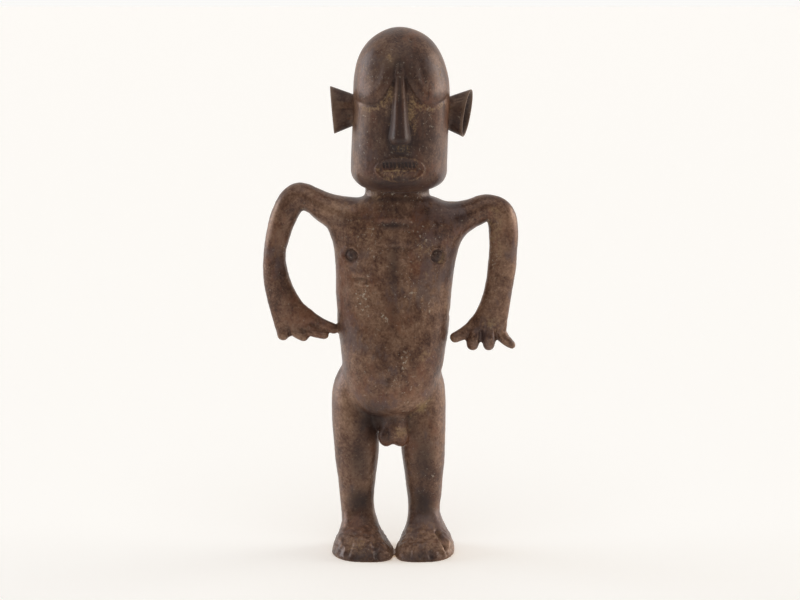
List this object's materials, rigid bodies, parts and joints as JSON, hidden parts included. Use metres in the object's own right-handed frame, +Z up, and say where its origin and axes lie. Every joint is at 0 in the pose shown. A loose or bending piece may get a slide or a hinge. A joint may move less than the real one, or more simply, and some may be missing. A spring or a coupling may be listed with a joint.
{
  "type": "standing bronze figure",
  "caption": "Standing cast bronze figure with arms akimbo, funnel ears, a domed head and splayed feet, resting on its flat soles.",
  "frame": {"origin": "middle of the footprint's bounding box, on the surface the soles stand on", "axes": "+Z up, the face looks along -Y, the figure's own left side is at +X"},
  "size_m": [0.1208, 0.0538, 0.25],
  "materials": {
    "bronze": "dark brown patina, satin, with ochre deposits in the hollows"
  },
  "bodies": {
    "root": {"figure": "bronze"}
  },
  "joints": []
}
